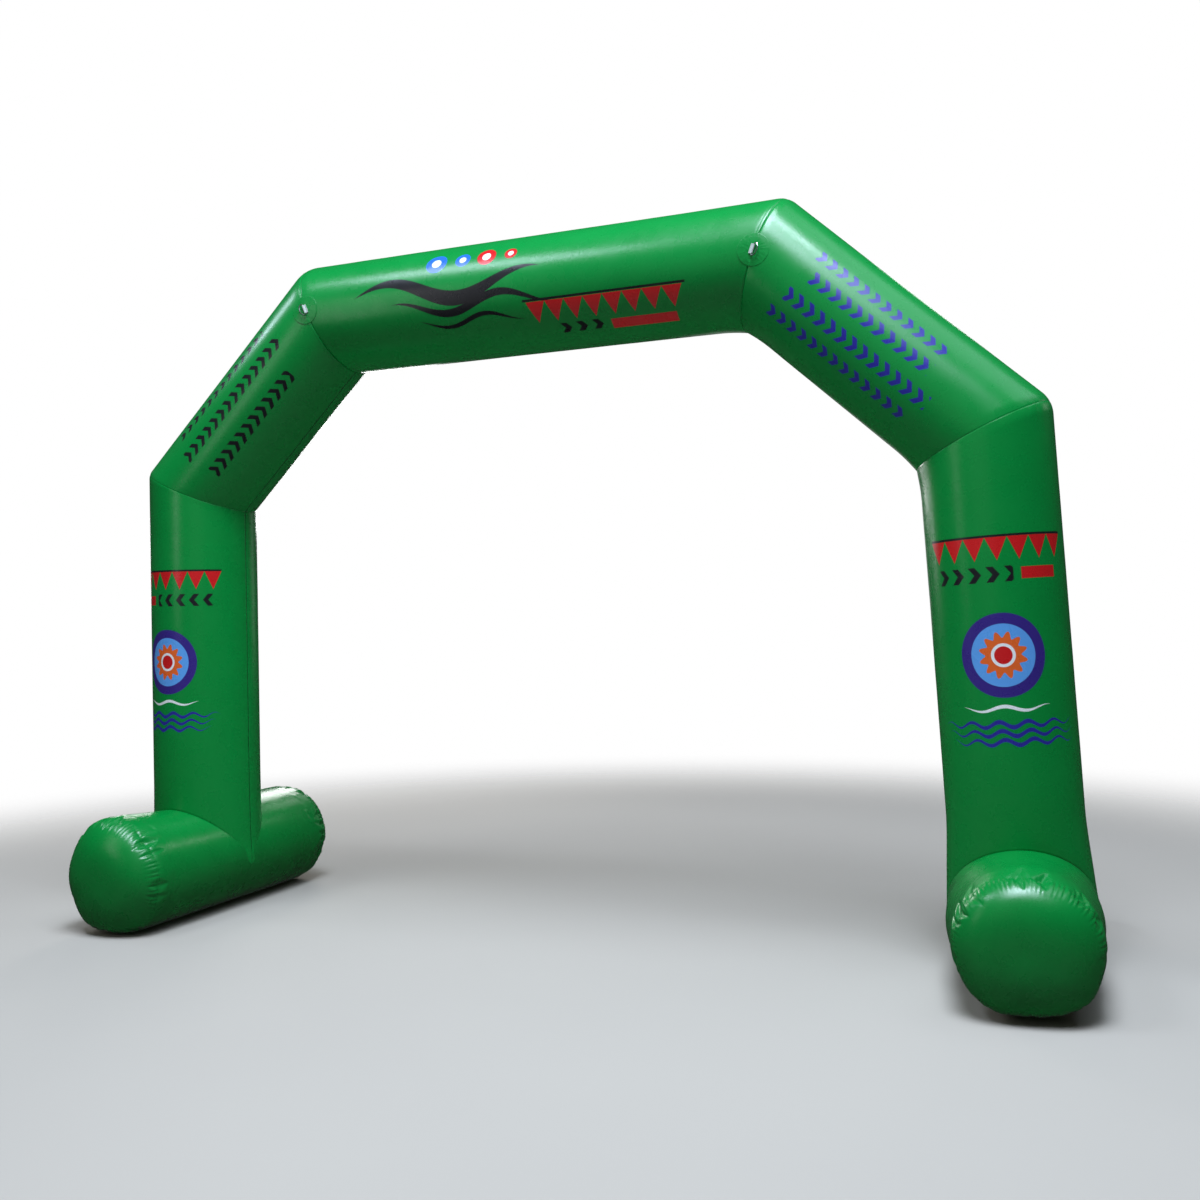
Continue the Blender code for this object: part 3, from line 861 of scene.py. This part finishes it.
GREEN = (0.0006, 0.24, 0.039)
DARK_GREEN = (0.0003, 0.2, 0.03)
BLACK = (0.01, 0.01, 0.012)
RED = (0.56, 0.01, 0.012)
BLUE = (0.02, 0.13, 0.62)
VIOLET = (0.035, 0.018, 0.19)
INDIGO = (0.02, 0.02, 0.26)
WHITE = (0.78, 0.8, 0.8)
SKY = (0.1, 0.32, 0.72)
ORANGE = (0.72, 0.12, 0.02)
SEAM_SHADE = (0.0003, 0.055, 0.009)
THREAD = (0.002, 0.11, 0.022)
STITCH = 0.006               # from one stitch to the next
LOW_SHADE_AND_SOIL, LOW_SHADE_AND_SOIL_TOP = (0.002, 0.075, 0.012), 0.62    # the colour of the painted shade near the floor, partly ground dirt, and the height where it ends
SEAM_EDGE, STITCH_ROW = 0.0032, 0.007    # from a lengthwise seam to its shade's edge, and to its stitches
# strength and height in metres of the relief that the materials add
RIPPLE, CRUMPLE, WEAVE = (0.07, 0.001), (0.03, 0.0006), (0.1, 0.0002)
RIBBING, SCRATCHES = (0.4, 0.0003), (0.15, 0.0002)
COATING = 0.21, 0.35         # its least and its greatest roughness
PRINT_EDGE, STITCH_EDGE = 0.0015, 0.0005    # half the width over which a mark's edge fades


def new_material(name, roughness, metallic=0.0):
    material = bpy.data.materials.new(name)
    material.use_nodes = True
    shader = material.node_tree.nodes["Principled BSDF"]
    feed(shader, "Roughness", roughness)
    feed(shader, "Metallic", metallic)
    return material, shader


def cloud(vector, scale, detail=2.0):
    return wired("TexNoise", Vector=vector, Scale=scale, Detail=detail).outputs["Fac"]


def bands(vector, scale, axis):
    node = wired("TexWave", Vector=vector, Scale=scale)
    node.bands_direction = axis
    return node.outputs["Fac"]


def ranged(value, low, high, start=0.0, end=1.0):
    """From low to high while the value runs from start to end."""
    limits = {"From Min": start, "From Max": end, "To Min": low, "To Max": high}
    return wired("MapRange", Value=value, **limits)


def mix_colour(mask, below, above):
    node = wired("Mix", Factor=mask)
    node.data_type = "RGBA"
    for place, colour in ((6, below), (7, above)):    # its colour inputs
        feed(node, place, (*colour, 1) if isinstance(colour, tuple) else colour)
    return node.outputs[2]


def bump(height, relief, **below):
    return wired("Bump", Height=height, Strength=relief[0], Distance=relief[1], **below).outputs[0]


def axes_of(vector):
    return [Field(output) for output in wired("SeparateXYZ", Vector=vector).outputs]


def metres_over(shader):
    """The piece's own coordinates in metres."""
    uv = shader.id_data.nodes.new("ShaderNodeUVMap")
    uv.uv_map = "metres"
    return uv.outputs[0]


def place_of(shader):
    return shader.id_data.nodes.new("ShaderNodeTexCoord").outputs["Object"]


def shaded_and_soiled(colour, place):
    """Painted shade near the floor, partly ground dirt, that thins out upwards over a foot."""
    left = axes_of(place)[2] * (-1 / LOW_SHADE_AND_SOIL_TOP) + 1.0
    amount = left.most(0.0) * (Field(cloud(place, 7.0, 4.0)) * 0.6 + 0.6)
    return mix_colour(amount.least(0.8).socket, colour, LOW_SHADE_AND_SOIL)


def inked(colour, marks, edge):
    """The colour with each mark printed over it."""
    for distance, ink in marks:
        colour = mix_colour(inside(distance, edge).socket, colour, ink)
    return colour


def coated_fabric(name, prints=None, seam=None, low_shade_and_soil=False):
    """Glossy coated polyester: weave, faint cross ripples, uneven dye, painted shade and dirt near the
    floor, prints and stitches.
    """
    material, shader = new_material(name, COATING[0])
    metres = metres_over(shader)
    colour = mix_colour(cloud(metres, 2.2, 3.0), DARK_GREEN, GREEN)
    # On the feet: painted shade that darkens the colour towards the floor, partly ground dirt
    if low_shade_and_soil:
        colour = shaded_and_soiled(colour, place_of(shader))
    around, along, _ = axes_of(metres)
    if prints:
        folded = abs(around - GIRTH / 2) * -1.0 + GIRTH / 2
        colour = inked(colour, prints(abs(folded), along), PRINT_EDGE)
    if seam is not None:
        colour = inked(colour, seam_marks(around, along, seam), STITCH_EDGE)
    feed(shader, "Base Color", colour)
    cross_way = wired("Mapping", Vector=metres, Scale=(2.5, 60, 1)).outputs[0]
    rippled = bump(cloud(cross_way, 1.0), RIPPLE)
    crumpled = bump(cloud(metres, 26.0, 4.0), CRUMPLE, Normal=rippled)
    feed(shader, "Normal", bump(woven(metres), WEAVE, Normal=crumpled))
    feed(shader, "Roughness", ranged(cloud(metres, 9.0, 5.0), *COATING).outputs[0])
    return material


def seam_marks(around, along, seam):
    """The dark line of a lengthwise seam, with a row of stitches on each side."""
    near = abs(around - seam % GIRTH)
    off = near.least(abs(near * -1.0 + GIRTH))
    yield off - SEAM_EDGE, SEAM_SHADE
    yield (abs(off - STITCH_ROW) - 0.0006).most(dashes(along, STITCH, STITCH * 0.33)), THREAD


def woven(metres):
    """Crossing threads, 1.2 mm apart."""
    first, second = (Field(bands(metres, 260.0, axis)) for axis in ("X", "Y"))
    return first.most(second).socket


def beam_prints(v, h):
    """Black brushed waves, ringed blue and red dots, pennants, and arrow marks beside a bar."""
    yield wave(h, v, 0.36, 1.62, 0.57, 0.07, 0.95, 0.046), BLACK
    yield wave(h, v, 0.62, 1.72, 0.46, 0.045, 0.7, 0.026, 1.2), BLACK
    yield wave(h, v, 0.8, 1.5, 0.36, 0.03, 0.5, 0.015, 2.2), BLACK
    dots = ((0.92, 0.07, BLUE), (1.1, 0.05, BLUE), (1.26, 0.062, RED), (1.42, 0.04, RED))
    for place, size, ink in dots:
        yield ball(h, v, (place, 0.745), size), ink
        yield ball(h, v, (place, 0.745), size * 0.45), WHITE
    yield pennants(h, v, 1.52, 2.48, 0.42, 0.12, 0.13), RED
    yield box(h, v, (2.0, 0.43), (0.5, 0.007)), BLACK
    yield box(h, v, (2.22, 0.225), (0.2, 0.035)), RED
    yield chevrons(h, v, 1.7, 2.0, 0.235, 0.1, 0.07, 0.04), BLACK


def shoulder_prints(ink, rows):
    """Rows of arrow marks along the tube. Each row: start, end, place round the tube, height."""
    return lambda v, h: [(chevrons(h, v, *row[:3], 0.075, row[3], 0.034), ink) for row in rows]


def leg_prints(h, v):
    """Red pennants on a black line, arrow marks and a bar, a round sun, and waves."""
    yield pennants(h, v, 0.2, 0.97, 1.93, 0.11, 0.12), RED
    yield box(h, v, (0.585, 1.935), (0.385, 0.006)), BLACK
    yield chevrons(h, v, 0.26, 0.66, 1.74, 0.09, 0.08, 0.036), BLACK
    yield box(h, v, (0.8, 1.74), (0.1, 0.03)), RED
    sun = (0.58, 1.33)
    yield ball(h, v, sun, 0.215), VIOLET
    yield ball(h, v, sun, 0.16), SKY
    yield star(h, v, sun, 0.105, 12.0, 0.016), ORANGE
    yield ball(h, v, sun, 0.06), WHITE
    yield ball(h, v, sun, 0.045), RED
    for row in range(3):
        start, middle = 0.22 + 0.03 * row, 0.98 - 0.045 * row
        yield wave(h, v, start, 0.95, middle, 0.014, 0.14, 0.012, 0.8 * row), INDIGO
    yield wave(h, v, 0.36, 0.8, 1.06, 0.012, 0.22, 0.009, 2.0), WHITE


def webbing():
    """Off-white webbing: ribs, a little dirt, and two rows of stitches that hold the fold."""
    material, shader = new_material("white_webbing_weave", 0.75)
    metres = metres_over(shader)
    run, width, _ = axes_of(metres)
    colour = mix_colour(cloud(metres, 60.0), (0.34, 0.39, 0.35), (0.52, 0.57, 0.52))
    rows = abs(abs(width) - STRAP_WIDTH * 0.4) - 0.0005
    stitches = rows.most(dashes(run, 0.003, 0.001))
    feed(shader, "Base Color", inked(colour, [(stitches, (0.16, 0.17, 0.18))], 0.0003))
    feed(shader, "Normal", bump(bands(metres, TURN / (20 * RIB), "X"), RIBBING))
    return material


def steel():
    material, shader = new_material("ring_steel_polished", 0.2, metallic=1.0)
    scratch = cloud(place_of(shader), 180.0, 4.0)
    feed(shader, "Base Color", mix_colour(scratch, (0.5, 0.51, 0.53), (0.8, 0.81, 0.82)))
    feed(shader, "Normal", bump(scratch, SCRATCHES))
    return material


# ---- dressing the frame

def dress(piece, node, material):
    piece.data.materials.append(material)
    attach(piece, "root")
    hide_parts(node)


def build_skin():
    left_rows = (0.28, 1.2, 0.745, 0.065), (0.24, 1.28, 0.575, 0.085), (0.3, 1.16, 0.37, 0.085)
    right_rows = ((0.3, 1.18, 0.75, 0.07), (0.36, 1.18, 0.625, 0.075),
                  (0.3, 1.28, 0.48, 0.08), (0.26, 1.22, 0.35, 0.065))
    corners = list(CORNERS)
    path = [foot_centre("left"), *map(corner_point, corners), foot_centre("right")]
    tubes = (
        ("shoulder_left", 21, "crown_left", shoulder_prints(BLACK, left_rows)),
        ("beam", 34, "crown_right", beam_prints),
        ("shoulder_right", 47, None, shoulder_prints(INDIGO, right_rows)),
    )
    for k, (node, seed, welt_at, prints) in enumerate(tubes):
        piece = tube_piece(node, corners[k:k + 2], path[k:k + 4], seed, welt_at)
        dress(piece, node, coated_fabric(f"green_skin_{node}", prints, SEAMS[node]))
    # The feet and caps get painted shade towards the floor, partly ground dirt
    plain = coated_fabric("green_skin_feet", low_shade_and_soil=True)
    for side, seed in (("left", 60), ("right", 73)):
        leg = f"leg_{side}"
        dress(leg_piece(side, seed), leg, coated_fabric(f"green_skin_{leg}", leg_prints, SEAMS[leg]))
        ends = {end: sewn_end(side, end) for end in (-1, 1)}
        dress(foot_piece(side, {end: ends[end][1] for end in ends}), f"foot_{side}", plain)
        for end, ending in ((-1, "front"), (1, "rear")):
            dress(cap_piece(side, end, *ends[end]), f"cap_{side}_{ending}", plain)


def build_anchors():
    patch, strap, metal = coated_fabric("green_patch"), webbing(), steel()
    for side in FEET:
        dress(patch_piece(side), f"anchor_patch_{side}", patch)
        dress(strap_piece(side), f"anchor_strap_{side}", strap)
        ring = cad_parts[f"anchor_ring_{side}"].data
        ring.materials.clear()
        ring.materials.append(metal)


# ---- the studio

CAMERA_PLACE = (3.0476, -6.8719, 1.9471)   # before the model's own shift
CAMERA_YAW, CAMERA_PITCH, CAMERA_ROLL = -0.3812, 0.0088, -0.0239
FOCAL_PIXELS = 1232.75
PICTURE = 1200


def add_camera():
    data = bpy.data.cameras.new("photo_view")
    camera = shown("photo_view", data)
    level = Matrix.Rotation(-CAMERA_YAW, 4, "Z") @ Matrix.Rotation(math.pi / 2 + CAMERA_PITCH, 4, "X")
    place = Matrix.Translation(Vector(CAMERA_PLACE) + Vector(SHIFT))
    camera.matrix_world = place @ level @ Matrix.Rotation(CAMERA_ROLL, 4, "Z")
    data.sensor_width = 36
    data.lens = FOCAL_PIXELS / PICTURE * data.sensor_width
    bpy.context.scene.camera = camera


# azimuth from the front towards +X, elevation (degrees), width, height, distance (m), power (W)
LAMPS = {
    "high_right": (40, 72, 4.5, 4.5, 12, 1180),
    "high_front": (20, 60, 4.5, 4.5, 12, 1040),
    "right_shoulder": (61, 59, 0.8, 0.8, 8, 80),
    "low_right": (40, 48, 3, 3, 8, 95),
    "far_right": (98, 48, 5, 5, 9, 130),
    "high_left": (-43, 56, 3.4, 1.3, 9, 235),
    "front_left": (-38, 17, 1.3, 5, 8, 38),
    "far_left": (-85, 35, 0.8, 0.8, 8, 40),
    "low_left": (-120, 3, 1, 1, 8, 20),
    "low_front": (5, 14, 5, 5, 8, 12),
    "behind": (-176, 2, 2, 2, 8, 6),
    "behind_left": (-162, 22, 1.6, 1.6, 8, 16),
    "behind_right": (162, 29, 1.2, 1.2, 8, 20),
    "rim_right": (118, 20, 1.2, 1.2, 9, 6),
    "rim_left": (-139, 13, 2, 2, 8, 110),
}
SKY_LIGHT = (0.72, 0.83, 1.0)    # the lamps above this elevation are as blue as the sky
SKY_FROM = 34
AIM = Vector((0, 0, 2.2))


def add_lamps():
    for name, (azimuth, elevation, width, height, distance, power) in LAMPS.items():
        data = bpy.data.lights.new(name, "AREA")
        data.shape = "RECTANGLE"
        data.size, data.size_y = width, height
        data.energy = power
        if elevation > SKY_FROM:
            data.color = SKY_LIGHT
        turn = Euler((math.radians(-elevation), 0, math.radians(azimuth)))
        way = turn.to_matrix() @ Vector(FRONT)
        obj = shown(name, data)
        obj.location = AIM + way * distance
        obj.rotation_euler = way.to_track_quat("Z", "Y").to_euler()
        obj.visible_camera = False


FLOOR_CLEAR = (4.5, 9.5)     # the floor fades into the pale surround between these distances
FILL = 0.03                  # strength of the even light from all sides


def pale_floor():
    """Matt pale floor that fades out far from the arch."""
    material, shader = new_material("pale_floor", 0.9)
    place = place_of(shader)
    feed(shader, "Base Color", mix_colour(cloud(place, 0.6), (0.47, 0.43, 0.375), (0.49, 0.45, 0.39)))
    reach = wired("VectorMath", Vector=place)
    reach.operation = "LENGTH"
    fade = ranged(reach.outputs["Value"], 1.0, 0.0, *FLOOR_CLEAR)
    fade.interpolation_type = "SMOOTHERSTEP"
    feed(shader, "Alpha", fade.outputs[0])
    return material


def add_surround():
    """A world that looks white and lights the arch only a little."""
    world = bpy.data.worlds.new("pale_surround")
    world.use_nodes = True
    nodes = world.node_tree.nodes
    ray = nodes.new("ShaderNodeLightPath").outputs["Is Camera Ray"]
    feed(nodes["Background"], "Color", (1, 1, 1, 1))
    feed(nodes["Background"], "Strength", ranged(ray, FILL, 1.0).outputs[0])
    bpy.context.scene.world = world


def add_stage():
    bpy.ops.mesh.primitive_plane_add(size=2 * FLOOR_CLEAR[1], location=(0, 0, -0.002))
    floor = bpy.context.object
    floor.name = "studio_floor"
    floor.data.materials.append(pale_floor())
    floor.visible_glossy = False     # the coating mirrors the dim surround, not the pale floor
    floor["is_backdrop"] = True
    add_surround()


def write_sizes():
    boxes = {"cad": CAD_BOX, "visual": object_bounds()}
    plain = {name: [list(corner) for corner in box_] for name, box_ in boxes.items()}


build_skin()
build_anchors()
add_camera()
add_lamps()
add_stage()
bpy.context.scene.view_settings.view_transform = "Standard"
write_sizes()
